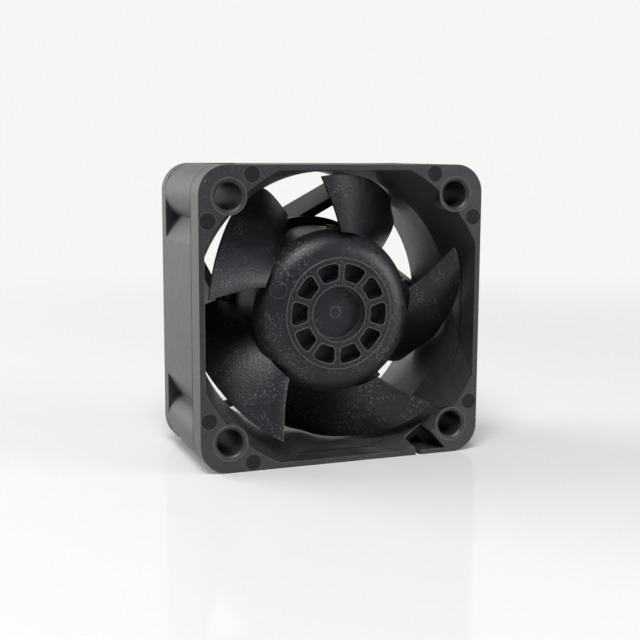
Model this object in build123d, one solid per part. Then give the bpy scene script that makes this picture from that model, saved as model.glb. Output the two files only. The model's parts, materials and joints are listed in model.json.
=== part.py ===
from build123d import *
import os
from math import acos, cos, degrees, hypot, radians, sin, sqrt

os.makedirs("parts", exist_ok=True)

# Small axial cooling fan, millimetres.
# It is drawn lying on its back, intake side up, and stood up on its bottom side at the end.
# Depths are measured from the intake face of the frame towards the outlet.
# Angles are counted anticlockwise from the right, looking into the intake.

# Frame
frame_width = 40.0
frame_depth = 20.0
corner_radius = 3.8
hole_edge = 4.0
hole_diameter = 3.5
hole_chamfer = 0.3
post_diameter = 8.0
front_flange = 3.9
rear_flange = 2.2
duct_wall = 1.0
duct_shell = 3.2
front_rim = 0.75
bellmouth_flare = 2.35
bellmouth_depth = 7.6
bellmouth_bulge = 0.25
boss_diameter = 4.7
outlet_chamfer = 0.5

# Lead notch and hook in the lower right corner of the intake flange
notch_reach = 3.55
notch_inner_gap = 1.55
notch_start = 6.1
hook_bar = 0.65
hook_slit = 0.4
hook_slant = 1.5

# Struts and motor base
strut_turns = (0.0, 90.0, 166.0, 231.0, 296.0)
strut_normal = 118.2
strut_front_offset = 10.9
strut_rear_offset = 12.3
strut_thickness = 1.2
strut_depth = 4.5
base_diameter = 25.0
base_height = 5.3
base_wall = 1.0
base_floor = 1.4
sleeve_wall = 0.8
sleeve_gap = 1.0
board_ledge = 0.8
lead_channel_width = 2.2
lead_channel_depth = 0.8

# Bearings, size 3 x 7 x 3
bearing_bore = 3.0
bearing_outside = 7.0
bearing_width = 3.0
ball_diameter = 1.0
ball_count = 7
ring_land = 0.6
race_clearance = 0.03
cage_width = 1.3
cage_thickness = 0.34
shield_thickness = 0.15
shield_inset = 0.1
shield_gap = 0.08
press_gap = 0.01

# Bearing tube
tube_wall = 0.7
tube_front_depth = 6.1
front_seat = 0.2
rear_seat = 1.7
tube_end_gap = 0.7
tube_shoulder = 0.45

# Shaft and what is on it
shaft_front_depth = 4.0
shaft_end_gap = 1.4
shaft_chamfer = 0.2
washer_thickness = 0.3
washer_diameter = 4.4
clip_thickness = 0.35
clip_diameter = 4.6
clip_groove_depth = 0.35
clip_opening = 60.0
bushing_diameter = 6.0
bushing_rear_depth = 5.9
bushing_counterbore = 4.6
bushing_seat = 0.8
spring_wire = 0.3
spring_mean_diameter = 3.8
spring_turns = 2.5

# Impeller hub
hub_diameter = 22.6
hub_front_depth = 2.2
hub_edge_depth = 5.2
hub_clearance = 0.7
hub_step = 0.12
hub_wall = 0.7
hub_front_wall = 2.2
hub_flat_diameter = 15.2
pocket_count = 10
pocket_inner_radius = 4.45
pocket_outer_radius = 6.95
pocket_spoke = 0.6
pocket_round = 0.65
pocket_depth = 1.7
pocket_turn = -2.6
centre_recess_diameter = 7.8
centre_recess_depth = 1.5
centre_step = 0.35
hub_boss_diameter = 8.2
hub_boss_rear_depth = 5.5
ledge_width = 0.6
ledge_arc = 26.0
ledge_rise = 0.5
ledge_height = 1.6
ledge_lead = 4.0

# Blades
blade_count = 5
tip_clearance = 0.3
blade_first_angle = 27.4
blade_tip_depth = 1.15
blade_root_depth = 3.0
blade_tip_arc = 59.5
blade_root_sweep = 11.4
blade_trailing_sweep = 15.0
blade_strut_gap = 0.65
blade_base_gap = 0.4
blade_overrun = 2.1
blade_tip_thickness = 0.6
blade_root_thickness = 1.0
blade_edge_share = 0.55
blade_camber = 1.65
blade_root_bury = 0.3

# Rotor yoke and magnet
yoke_thickness = 0.6
yoke_inset = 0.3
magnet_thickness = 1.25
magnet_front_depth = 5.8
magnet_inset = 0.3

# Stator
air_gap = 0.3
core_inset = 1.8
pole_count = 4
core_back = 1.1
tooth_width = 2.0
shoe_thickness = 0.8
shoe_arc = 74.0
insulator_plate = 0.45
insulator_wall = 0.2
insulator_guide = 1.3
coil_thickness = 1.3
coil_end_height = 1.1
coil_gap = 0.05
coil_round = 0.5
lug_width = 1.3
lug_reach = 7.3
pin_diameter = 0.5
pin_circle = 13.4
pin_stand = 0.6

# Circuit board
board_stand = 2.4
board_thickness = 0.8
board_gap = 0.05
chip_length = 3.0
chip_width = 3.0
chip_height = 0.9
hall_length = 1.6
hall_width = 1.4
hall_height = 0.8
capacitor_length = 1.6
capacitor_width = 0.8
capacitor_height = 0.7
resistor_length = 1.0
resistor_width = 0.5
resistor_height = 0.35
component_circle = 15.2

# Sizes that follow from those above
half_width = frame_width / 2
half_pitch = half_width - hole_edge
duct_radius = half_width - duct_wall
tip_radius = duct_radius - tip_clearance
hub_radius = hub_diameter / 2
base_radius = base_diameter / 2
tube_radius = bearing_outside / 2 + press_gap + tube_wall
ball_circle_radius = (bearing_bore + bearing_outside) / 4
yoke_radius = hub_radius - hub_wall - press_gap
base_front_depth = frame_depth - base_height
strut_front_depth = frame_depth - strut_depth
blade_rear_depth = strut_front_depth - blade_strut_gap
hub_rear_depth = base_front_depth - hub_clearance
tube_rear_depth = frame_depth - tube_end_gap
front_bearing_depth = tube_front_depth + front_seat
rear_bearing_depth = tube_rear_depth - rear_seat - bearing_width
shaft_rear_depth = frame_depth - shaft_end_gap
yoke_front_depth = hub_front_depth + hub_front_wall + press_gap
yoke_rear_depth = hub_rear_depth - yoke_inset
magnet_rear_depth = yoke_rear_depth - magnet_inset
magnet_radius = yoke_radius - yoke_thickness - press_gap
core_radius = magnet_radius - magnet_thickness - air_gap
core_inner_radius = tube_radius + press_gap
core_back_radius = core_inner_radius + core_back
core_front_depth = magnet_front_depth + core_inset
core_rear_depth = magnet_rear_depth - core_inset
core_height = core_rear_depth - core_front_depth
shoe_radius = core_radius - shoe_thickness
coil_inner_radius = core_back_radius + insulator_wall + coil_gap
coil_half_width = tooth_width / 2 + insulator_wall + coil_gap + coil_thickness
coil_outer_radius = sqrt((shoe_radius - coil_gap) ** 2 - coil_half_width ** 2)
sleeve_radius = tube_radius + press_gap + sleeve_wall
board_rear_depth = frame_depth - base_floor - board_stand
board_front_depth = board_rear_depth - board_thickness
clip_front_depth = rear_bearing_depth + bearing_width + washer_thickness + press_gap
step = 360.0 / blade_count
shell_radius = duct_radius + duct_shell
post_radius = post_diameter / 2
hole_distance = hypot(half_pitch, half_pitch)
valley_rise = hole_distance ** 2 + shell_radius ** 2 - post_radius ** 2
valley_angle = -45 - degrees(acos(valley_rise / (2 * hole_distance * shell_radius)))
hole_places = [(x * half_pitch, y * half_pitch) for x in (-1, 1) for y in (-1, 1)]


def level(depth):
    """height of a depth below the intake face, while the fan lies on its back"""
    return frame_depth / 2 - depth


def slab(sketch, front, rear):
    """the sketch as a solid between two depths"""
    return extrude(Pos(0, 0, level(rear)) * sketch, rear - front)


def disc(radius, front, rear):
    return slab(Circle(radius), front, rear)


def tube(outer, inner, front, rear):
    return slab(Circle(outer) - Circle(inner), front, rear)


def turned(points):
    """solid of revolution about the fan's axis from (radius, depth) points"""
    outline = Polyline([(radius, 0, level(depth)) for radius, depth in points], close=True)
    return revolve(make_face(outline), Axis.Z)


def at_angle(radius, angle):
    return (radius * cos(radians(angle)), radius * sin(radians(angle)))


def write(name, *pieces):
    """stand the pieces up, intake towards -Y, and write them as one node"""
    standing = [Rot(X=90) * piece for piece in pieces]
    node = standing[0] if len(standing) == 1 else Compound(standing)
    export_step(node, f"parts/{name}.step")


# Frame: duct, flanges, corner posts, struts and motor base in one moulding

def frame_outline():
    return RectangleRounded(frame_width, frame_width, corner_radius)


def frame_shell():
    """flanges at both ends, and between them the round duct and the posts round the holes"""
    duct = Circle(shell_radius) & frame_outline()
    posts = Sketch() + [Pos(x, y) * Circle(post_radius) for x, y in hole_places]
    middle = duct + (posts & frame_outline())
    shell = slab(middle, 0, frame_depth)
    shell += slab(frame_outline(), 0, front_flange)
    shell += slab(frame_outline(), frame_depth - rear_flange, frame_depth)
    return shell


def bellmouth():
    """flared intake: a slightly bulging cone, cut off square inside the four rims"""
    mouth = duct_radius + bellmouth_flare
    top = (mouth, 0, level(0))
    throat = (duct_radius, 0, level(bellmouth_depth))
    middle = ((mouth + duct_radius) / 2 - bellmouth_bulge, 0, level(bellmouth_depth / 2))
    side = ThreePointArc(top, middle, throat)
    rest = Polyline([top, (0, 0, level(0)), (0, 0, level(bellmouth_depth)), throat])
    flare = revolve(make_face(side + rest), Axis.Z)
    square = slab(Rectangle(frame_width - 2 * front_rim, frame_width - 2 * front_rim), 0, bellmouth_depth)
    bosses = [Pos(x, y) * disc(boss_diameter / 2, 0, bellmouth_depth) for x, y in hole_places]
    return (flare & square) - bosses


def mounting_holes():
    """four through holes, chamfered at both faces"""
    radius = hole_diameter / 2
    wide = radius + hole_chamfer
    profile = [(0, 0), (wide, 0), (radius, hole_chamfer), (radius, frame_depth - hole_chamfer)]
    profile += [(wide, frame_depth), (0, frame_depth)]
    hole = turned(profile)
    return [Pos(x, y) * hole for x, y in hole_places]


def lead_notch():
    """three-cornered opening beside the lower right hole, with a slit that leaves a hook"""
    low = -half_width
    bar = low + hook_bar
    inner = duct_radius + notch_inner_gap
    left = at_angle(inner, degrees(-acos((half_pitch - notch_start) / inner)))
    hole_x, hole_y = half_pitch, -half_pitch
    top = (hole_x - notch_reach, hole_y - 0.25)
    right = (hole_x - 0.8, bar)
    slit = left[0] + 0.8
    opening = Polyline([left, top, right, (slit + hook_slit, bar), (slit, bar)], close=True)
    ends = [(slit, bar + 0.01), (slit + hook_slit, bar + 0.01)]
    ends += [(slit + hook_slit + hook_slant, low - 1), (slit, low - 1)]
    slot = Polyline(ends, close=True)
    return slab(make_face(opening) + make_face(slot), 0, front_flange)


def strip(start, end, width):
    """flat strip of a width between two points"""
    along = (end - start).normalized()
    side = Vector(-along.Y, along.X) * (width / 2)
    return make_face(Polyline([start + side, end + side, end - side, start - side], close=True))


def strut_point(turn, offset, along):
    """point on a strut: its line runs past the axis at the offset, and along counts outwards on it"""
    across = Vector(*at_angle(offset, strut_normal + turn))
    return across + Vector(*at_angle(along, strut_normal + turn - 90))


def strut_reach(offset):
    """how far along its line a strut runs until it is inside the duct's wall"""
    return sqrt((duct_radius + duct_wall / 2) ** 2 - offset ** 2)


def strut_face(turn, offset, depth):
    """plan of one strut at a depth: a straight strip from the motor base to the duct"""
    start = strut_point(turn, offset, 0)
    end = strut_point(turn, offset, strut_reach(offset))
    return Pos(0, 0, level(depth)) * strip(start, end, strut_thickness)


def struts():
    """outlet vanes: they run out past the motor base and lean with the swirl of the air"""
    vanes = []
    for turn in strut_turns:
        front = strut_face(turn, strut_front_offset, strut_front_depth)
        rear = strut_face(turn, strut_rear_offset, frame_depth)
        vanes.append(loft([front, rear]) - disc(base_radius - base_wall / 2, 0, frame_depth))
    return vanes


def motor_base():
    """shallow cup with a ledge for the board and a sleeve for the bearing tube"""
    floor = frame_depth - base_floor
    cup = tube(base_radius, base_radius - base_wall, base_front_depth, frame_depth)
    ledge_radius = base_radius - base_wall - board_ledge
    ledge = tube(base_radius - base_wall / 2, ledge_radius, board_rear_depth, frame_depth)
    plate = disc(base_radius - base_wall / 2, floor, frame_depth)
    sleeve = disc(sleeve_radius, core_rear_depth + sleeve_gap, frame_depth)
    bore = disc(tube_radius + press_gap, 0, frame_depth)
    return cup + ledge + plate + sleeve - bore


def outlet_lip():
    """small chamfer round the outlet"""
    wide = duct_radius + outlet_chamfer
    return turned([(duct_radius, frame_depth - outlet_chamfer), (wide, frame_depth), (duct_radius, frame_depth)])


def lead_channel():
    """shallow groove for the leads: along the back of one strut, then out to the hollow beside a post"""
    turn = strut_turns[3]
    inner = strut_point(turn, strut_rear_offset - base_wall, 0)
    wall = strut_point(turn, strut_rear_offset, strut_reach(strut_rear_offset))
    outside = Vector(*at_angle(duct_radius + 2 * duct_shell, valley_angle))
    path = strip(inner, wall, lead_channel_width) + strip(wall, outside, lead_channel_width)
    path += Pos(wall) * Circle(lead_channel_width / 2)
    return slab(path, frame_depth - lead_channel_depth, frame_depth)


def frame():
    body = frame_shell()
    body -= disc(duct_radius, 0, frame_depth)
    body -= outlet_lip()
    body -= bellmouth()
    body += struts()
    body += motor_base()
    body &= slab(frame_outline(), 0, frame_depth)
    body -= mounting_holes()
    body -= lead_notch()
    body -= lead_channel()
    return body


# Bearing parts, drawn with their front face at depth 0 and moved to their place

def bearing_place(depth):
    return Pos(0, 0, -depth)


def race():
    """ring-shaped groove that the balls run in"""
    middle = level(bearing_width / 2)
    return Pos(0, 0, middle) * Torus(ball_circle_radius, ball_diameter / 2 + race_clearance)


def inner_ring():
    bore = bearing_bore / 2
    return tube(bore + ring_land, bore, 0, bearing_width) - race()


def outer_ring():
    """outer ring with a step at each end that holds a shield"""
    outside = bearing_outside / 2
    ring = tube(outside, outside - ring_land, 0, bearing_width) - race()
    seat = outside - ring_land + shield_inset
    depth = shield_inset + shield_thickness
    ring -= disc(seat, 0, depth)
    ring -= disc(seat, bearing_width - depth, bearing_width)
    return ring


def shields():
    outer = bearing_outside / 2 - ring_land + shield_inset - press_gap
    inner = bearing_bore / 2 + ring_land + shield_gap
    near = tube(outer, inner, shield_inset, shield_inset + shield_thickness)
    far = bearing_width - shield_inset
    return [near, tube(outer, inner, far - shield_thickness, far)]


def balls():
    middle = level(bearing_width / 2)
    places = [at_angle(ball_circle_radius, number * 360 / ball_count) for number in range(ball_count)]
    return [Pos(x, y, middle) * Sphere(ball_diameter / 2) for x, y in places]


def cage():
    """ring between the balls, with a round window for each"""
    middle = bearing_width / 2
    inner = ball_circle_radius - cage_thickness / 2
    outer = ball_circle_radius + cage_thickness / 2
    ring = tube(outer, inner, middle - cage_width / 2, middle + cage_width / 2)
    window = Rot(Y=90) * Cylinder(ball_diameter / 2 + race_clearance, 2 * cage_thickness)
    across = Pos(0, 0, level(middle)) * Pos(ball_circle_radius, 0) * window
    return ring - [Rot(Z=number * 360 / ball_count) * across for number in range(ball_count)]


def bearing_tube():
    """turned brass tube with a bearing seat at each end and a shoulder between them"""
    bore = bearing_outside / 2 + press_gap
    narrow = bore - tube_shoulder
    front = front_bearing_depth + bearing_width
    tube_part = tube(tube_radius, narrow, tube_front_depth, tube_rear_depth)
    tube_part -= disc(bore, tube_front_depth, front)
    return tube_part - disc(bore, rear_bearing_depth, tube_rear_depth)


# Shaft and small turned pieces

def shaft():
    """ground pin, chamfered at both ends, with a groove for the clip"""
    radius = bearing_bore / 2 - press_gap
    core = radius - clip_groove_depth
    front = shaft_front_depth
    rear = shaft_rear_depth
    groove = clip_front_depth + clip_thickness + press_gap
    points = [(0, front), (radius - shaft_chamfer, front), (radius, front + shaft_chamfer)]
    points += [(radius, clip_front_depth), (core, clip_front_depth), (core, groove), (radius, groove)]
    points += [(radius, rear - shaft_chamfer), (radius - shaft_chamfer, rear), (0, rear)]
    return turned(points)


def shaft_washer():
    front = rear_bearing_depth + bearing_width
    return tube(washer_diameter / 2, bearing_bore / 2, front, front + washer_thickness)


def retaining_ring():
    """open ring clip that sits in the shaft's groove"""
    inner = bearing_bore / 2 - clip_groove_depth
    ring = Circle(clip_diameter / 2) - Circle(inner)
    reach = clip_diameter
    half = clip_opening / 2
    mouth = Polyline([(0, 0), at_angle(reach, -half), at_angle(reach, half)], close=True)
    return slab(ring - make_face(mouth), clip_front_depth, clip_front_depth + clip_thickness)


def hub_bushing():
    """brass bushing with a counterbore for the spring"""
    bore = bearing_bore / 2
    seat = shaft_front_depth + bushing_seat
    ring = tube(bushing_diameter / 2, bore, shaft_front_depth, bushing_rear_depth)
    return ring - disc(bushing_counterbore / 2, seat, bushing_rear_depth)


def preload_spring():
    """short coil spring from the bushing to the front bearing's inner ring"""
    radius = spring_mean_diameter / 2
    top = shaft_front_depth + bushing_seat + spring_wire / 2
    length = front_bearing_depth - spring_wire / 2 - top
    path = Helix(length / spring_turns, length, radius)
    section = Plane(path @ 0, z_dir=path % 0) * Rectangle(spring_wire, spring_wire)
    return Pos(0, 0, level(top + length)) * sweep(section, path, is_frenet=True)


# Impeller: hub and blades in one moulding

def hub_body():
    """domed cap with a long skirt; the dome runs from the flat front to the skirt"""
    flat = hub_flat_diameter / 2
    rear = hub_rear_depth
    inner = hub_radius - hub_wall
    ceiling = hub_front_depth + hub_front_wall
    rise = hub_edge_depth - hub_front_depth
    shoulder = (flat + (hub_radius - flat) * 0.62, 0, level(hub_front_depth + rise * 0.28))
    start = hub_front_depth + hub_step
    dome = ThreePointArc((flat, 0, level(start)), shoulder, (hub_radius, 0, level(hub_edge_depth)))
    points = [(hub_radius, hub_edge_depth), (hub_radius, rear), (inner, rear), (inner, ceiling)]
    points += [(0, ceiling), (0, hub_front_depth), (flat, hub_front_depth), (flat, start)]
    rest = Polyline([(radius, 0, level(depth)) for radius, depth in points])
    cap = revolve(make_face(dome + rest), Axis.Z)
    boss = disc(hub_boss_diameter / 2, ceiling - 0.1, hub_boss_rear_depth)
    return cap + boss


def centre_recess():
    """round recess in the hub's front, with a low step at its wall"""
    radius = centre_recess_diameter / 2
    rear = hub_front_depth + centre_recess_depth
    step_depth = hub_front_depth + centre_recess_depth * 0.6
    return disc(radius, hub_front_depth, step_depth) + disc(radius - centre_step, hub_front_depth, rear)


def balance_pocket():
    """one pocket with rounded corners, between two spokes of even width"""
    ring = Circle(pocket_outer_radius) - Circle(pocket_inner_radius)
    reach = 2 * pocket_outer_radius
    half = 180 / pocket_count
    wedge = make_face(Polyline([(0, 0), at_angle(reach, -half), at_angle(reach, half)], close=True))
    offset_x = pocket_spoke / 2 / sin(radians(half))
    cell = ring & (Pos(offset_x, 0) * wedge)
    cell = fillet(cell.vertices(), pocket_round)
    return slab(cell, hub_front_depth, hub_front_depth + pocket_depth)


def balance_pockets():
    pocket = balance_pocket()
    half = 180 / pocket_count
    first = 90 + pocket_turn + half
    return [Rot(Z=first + number * 2 * half) * pocket for number in range(pocket_count)]


def blade_span(radius):
    """share of the way from the tip to the hub"""
    return (tip_radius - radius) / (tip_radius - hub_radius)


def power(value, exponent):
    """power that keeps its sign, so that the blade runs on smoothly past its tip"""
    return value * abs(value) ** (exponent - 1) if value else 0.0


def blade_angle(radius, share):
    """how far a point of the blade lies clockwise from its leading tip corner, in degrees"""
    span = blade_span(radius)
    lead = blade_root_sweep * power(span, 1.2)
    trail = blade_tip_arc + blade_trailing_sweep * power(span, 0.6)
    return lead + (trail - lead) * share


def blade_depth(radius, share):
    """depth of the blade's middle surface: flat at the leading edge, steep behind it"""
    span = blade_span(radius)
    lead = blade_tip_depth + (blade_root_depth - blade_tip_depth) * span
    return lead + (blade_rear_depth + blade_overrun - lead) * share ** blade_camber


def blade_point(offset, share):
    """point of the middle surface on the flat section at an offset along the blade's own middle line"""
    middle = blade_tip_arc / 2
    radius = offset
    for _ in range(30):
        turn = middle - blade_angle(radius, share)
        radius = offset / cos(radians(turn))
    return Vector(radius * sin(radians(turn)), level(blade_depth(radius, share))), radius


def blade_section(offset, samples=9):
    """closed outline of the blade on one flat section, thinner towards both edges"""
    shares = [number / (samples - 1) for number in range(samples)]
    points = [blade_point(offset, share) for share in shares]
    upper = []
    lower = []
    for number, (point, radius) in enumerate(points):
        before = points[max(number - 1, 0)][0]
        after = points[min(number + 1, samples - 1)][0]
        along = (after - before).normalized()
        across = Vector(-along.Y, along.X)
        thickness = blade_tip_thickness + (blade_root_thickness - blade_tip_thickness) * blade_span(radius)
        fullness = blade_edge_share + (1 - blade_edge_share) * sin(radians(180 * shares[number])) ** 0.5
        half = thickness * fullness / 2
        upper.append(point + across * half)
        lower.append(point - across * half)
    outline = Spline(upper) + Line(upper[-1], lower[-1]) + Spline(lower[::-1]) + Line(lower[0], upper[0])
    return Plane.YZ.offset(offset) * make_face(outline)


def blade():
    """one blade, lofted through flat sections and cut at the tip, root and skirt end"""
    first = (hub_radius - 1) * cos(radians(blade_tip_arc * 0.75))
    last = tip_radius + 0.6
    sections = [blade_section(first + (last - first) * number / 6) for number in range(7)]
    solid = loft(sections)
    room = tube(tip_radius, hub_radius - blade_root_bury, 0, hub_rear_depth)
    room += tube(tip_radius, base_radius + blade_base_gap, 0, blade_rear_depth)
    solid = solid & room
    return Rot(Z=-blade_tip_arc / 2) * solid


def ledge():
    """crescent at the foot of each blade, square at the leading end and running out clockwise"""
    ring = Circle(hub_radius + 2 * ledge_width) - Circle(hub_radius - hub_wall / 2)
    reach = 2 * hub_radius
    wedge = make_face(Polyline([(0, 0), at_angle(reach, -ledge_arc), at_angle(reach, 0)], close=True))
    shift = ledge_width / sin(radians(ledge_arc))
    eccentric = Pos(*at_angle(shift, 90 - ledge_arc)) * Circle(hub_radius)
    front = hub_edge_depth - ledge_rise
    return slab(ring & wedge & eccentric, front, front + ledge_height)


def impeller():
    hub = hub_body() - centre_recess() - balance_pockets()
    hub -= disc(bushing_diameter / 2 + press_gap, shaft_front_depth - press_gap, hub_boss_rear_depth)
    one = blade()
    foot = Rot(Z=ledge_lead - blade_root_sweep) * ledge()
    for number in range(blade_count):
        turn = Rot(Z=blade_first_angle + number * step)
        hub += turn * one
        hub += turn * foot
    return hub


# Yoke and magnet

def rotor_yoke():
    """drawn steel cup with a hole for the hub's boss"""
    wall = tube(yoke_radius, yoke_radius - yoke_thickness, yoke_front_depth, yoke_rear_depth)
    hole = hub_boss_diameter / 2 + press_gap
    top = tube(yoke_radius - yoke_thickness / 2, hole, yoke_front_depth, yoke_front_depth + yoke_thickness)
    return wall + top


def magnet_ring():
    return tube(magnet_radius, magnet_radius - magnet_thickness, magnet_front_depth, magnet_rear_depth)


# Stator

def tooth(width, reach):
    return Pos((reach + core_inner_radius) / 2, 0) * Rectangle(reach - core_inner_radius, width)


def pole_angles(shift=0.0):
    return [shift + number * 360 / pole_count for number in range(pole_count)]


def sector(radius, arc):
    half = arc / 2
    corners = [(0, 0), at_angle(2 * radius, -half), at_angle(2 * radius, half)]
    return make_face(Polyline(corners, close=True))


def shoe(outer, inner, arc):
    return (Circle(outer) - Circle(inner)) & sector(outer, arc)


def lamination_outline():
    """four-pole star with a curved shoe on each tooth"""
    outline = Circle(core_back_radius)
    for angle in pole_angles():
        outline += Rot(Z=angle) * tooth(tooth_width, shoe_radius + shoe_thickness / 2)
        outline += Rot(Z=angle) * shoe(core_radius, shoe_radius, shoe_arc)
    return outline - Circle(core_inner_radius)


def stator_core():
    return slab(lamination_outline(), core_front_depth, core_rear_depth)


def insulator_outline():
    outline = Circle(core_back_radius + insulator_wall)
    for angle in pole_angles():
        outline += Rot(Z=angle) * tooth(tooth_width + 2 * insulator_wall, shoe_radius - press_gap)
    return outline - Circle(core_inner_radius + press_gap)


def insulator(face_depth, back_depth, middle_depth):
    """plate over one end of the core, with walls down the slots and guides that hold the coils"""
    front = min(face_depth, middle_depth)
    rear = max(face_depth, middle_depth)
    body = slab(insulator_outline(), front, rear)
    core = slab(offset(lamination_outline(), press_gap), core_front_depth, core_rear_depth)
    body -= core
    guide_front = min(face_depth, back_depth)
    guide_rear = max(face_depth, back_depth)
    inner_edge = min(abs(core_front_depth - face_depth), abs(core_rear_depth - face_depth))
    plate_front = guide_front - (inner_edge if face_depth > middle_depth else 0)
    plate_rear = guide_rear + (inner_edge if face_depth < middle_depth else 0)
    for angle in pole_angles():
        guide = shoe(shoe_radius + insulator_plate, shoe_radius - press_gap, shoe_arc * 0.6)
        body += Rot(Z=angle) * slab(guide, plate_front, plate_rear)
    return body


def insulator_front():
    face = core_front_depth - insulator_plate
    middle = (core_front_depth + core_rear_depth) / 2 - press_gap
    return insulator(face, face - insulator_guide, middle)


def insulator_rear():
    """the rear one also has four lugs that hold the pins"""
    face = core_rear_depth + insulator_plate
    middle = (core_front_depth + core_rear_depth) / 2 + press_gap
    body = insulator(face, face + insulator_guide, middle)
    for angle in pole_angles(180 / pole_count):
        start = core_back_radius
        lug = Pos((lug_reach + start) / 2, 0) * Rectangle(lug_reach - start, lug_width)
        body += Rot(Z=angle) * slab(lug, core_rear_depth, face + insulator_guide)
        hole = disc(pin_diameter / 2 + press_gap, face, face + insulator_guide)
        body -= Pos(*at_angle(pin_circle / 2, angle)) * hole
    return body


def coil():
    """winding round one tooth, a rounded frame with a rectangular eye"""
    width = tooth_width + 2 * insulator_wall + 2 * coil_gap
    height = core_height + 2 * insulator_plate + 2 * coil_gap
    outside = RectangleRounded(2 * coil_half_width, height + 2 * coil_end_height, coil_round)
    section = outside - Rectangle(width, height)
    block = extrude(section, coil_outer_radius - coil_inner_radius)
    place = Plane(origin=(coil_inner_radius, 0, level((core_front_depth + core_rear_depth) / 2)),
                  x_dir=(0, 1, 0), z_dir=(1, 0, 0))
    return place * block


def windings():
    one = coil()
    return [Rot(Z=angle) * one for angle in pole_angles()]


def terminal_pins():
    front = core_rear_depth + insulator_plate
    rear = board_rear_depth + pin_stand
    places = [at_angle(pin_circle / 2, angle) for angle in pole_angles(180 / pole_count)]
    return [Pos(x, y) * disc(pin_diameter / 2, front, rear) for x, y in places]


# Circuit board and what is on it

def circuit_board():
    """round board on the base's ledge, with holes for the sleeve and the pins"""
    board = tube(base_radius - base_wall - board_gap, sleeve_radius + board_gap, board_front_depth,
                 board_rear_depth)
    hole = disc(pin_diameter / 2 + board_gap, board_front_depth, board_rear_depth)
    places = [at_angle(pin_circle / 2, angle) for angle in pole_angles(180 / pole_count)]
    return board - [Pos(x, y) * hole for x, y in places]


def block_at(angle, radius, length, width, front, rear):
    """small block lying along the circle of components"""
    return Rot(Z=angle) * Pos(radius, 0) * slab(Rectangle(width, length), front, rear)


def driver_chip():
    return block_at(0, component_circle / 2, chip_length, chip_width, board_rear_depth,
                    board_rear_depth + chip_height)


def hall_sensor():
    radius = magnet_radius - magnet_thickness / 2
    return block_at(20, radius, hall_length, hall_width, board_front_depth - hall_height, board_front_depth)


def board_capacitors():
    return [block_at(angle, component_circle / 2, capacitor_length, capacitor_width, board_rear_depth,
                     board_rear_depth + capacitor_height) for angle in (90, 180, 270)]


def board_resistors():
    return [block_at(angle, component_circle / 2, resistor_length, resistor_width, board_rear_depth,
                     board_rear_depth + resistor_height) for angle in (112, 158, 202, 248, 292)]


def build_housing():
    write("frame", frame())
    write("bearing_tube", bearing_tube())
    write("stator_core", stator_core())
    write("insulator_front", insulator_front())
    write("insulator_rear", insulator_rear())
    write("windings", *windings())
    write("terminal_pins", *terminal_pins())
    write("circuit_board", circuit_board())
    write("driver_chip", driver_chip())
    write("hall_sensor", hall_sensor())
    write("board_capacitors", *board_capacitors())
    write("board_resistors", *board_resistors())


def build_bearings():
    for name, depth in (("front", front_bearing_depth), ("rear", rear_bearing_depth)):
        place = bearing_place(depth)
        write(f"{name}_bearing_outer", place * outer_ring())
        write(f"{name}_bearing_inner", place * inner_ring())
        write(f"{name}_bearing_shields", *[place * shield for shield in shields()])
        write(f"{name}_bearing_balls", *[place * ball for ball in balls()])
        write(f"{name}_bearing_cage", place * cage())


def build_rotor():
    write("impeller", impeller())
    write("rotor_yoke", rotor_yoke())
    write("magnet_ring", magnet_ring())
    write("hub_bushing", hub_bushing())
    write("shaft", shaft())
    write("shaft_washer", shaft_washer())
    write("retaining_ring", retaining_ring())
    write("preload_spring", preload_spring())


build_housing()
build_bearings()
build_rotor()
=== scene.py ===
import json
from math import pi, radians

import bmesh
import bpy
from mathutils import Euler, Matrix, Vector
from mathutils.bvhtree import BVHTree


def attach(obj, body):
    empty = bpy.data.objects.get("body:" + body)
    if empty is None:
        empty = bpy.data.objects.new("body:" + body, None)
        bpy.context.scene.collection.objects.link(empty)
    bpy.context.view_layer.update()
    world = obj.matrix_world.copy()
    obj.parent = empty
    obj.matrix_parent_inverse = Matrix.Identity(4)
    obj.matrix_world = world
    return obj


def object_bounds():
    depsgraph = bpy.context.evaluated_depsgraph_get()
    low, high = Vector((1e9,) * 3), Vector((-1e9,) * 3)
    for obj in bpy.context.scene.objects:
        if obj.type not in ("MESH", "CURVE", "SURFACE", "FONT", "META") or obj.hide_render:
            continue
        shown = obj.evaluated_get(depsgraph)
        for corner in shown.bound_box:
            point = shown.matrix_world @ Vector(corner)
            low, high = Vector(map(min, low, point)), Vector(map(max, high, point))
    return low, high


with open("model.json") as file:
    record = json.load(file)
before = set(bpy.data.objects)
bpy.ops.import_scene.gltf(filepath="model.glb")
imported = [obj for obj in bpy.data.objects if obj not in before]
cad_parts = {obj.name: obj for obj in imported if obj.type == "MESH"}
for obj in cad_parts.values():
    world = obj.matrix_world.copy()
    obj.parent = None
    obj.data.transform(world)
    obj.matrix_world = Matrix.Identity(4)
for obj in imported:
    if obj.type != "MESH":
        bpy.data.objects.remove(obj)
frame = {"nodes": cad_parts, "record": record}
cad_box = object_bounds()

bl_info = {
    "name": "Axial Cooling Fan",
    "version": (1, 0, 0),
    "blender": (4, 5, 0),
    "location": "View3D > Sidebar > Fan",
    "description": "Dresses a small axial cooling fan with moulding marks, worn edges and finishes",
    "category": "Object",
}

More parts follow.
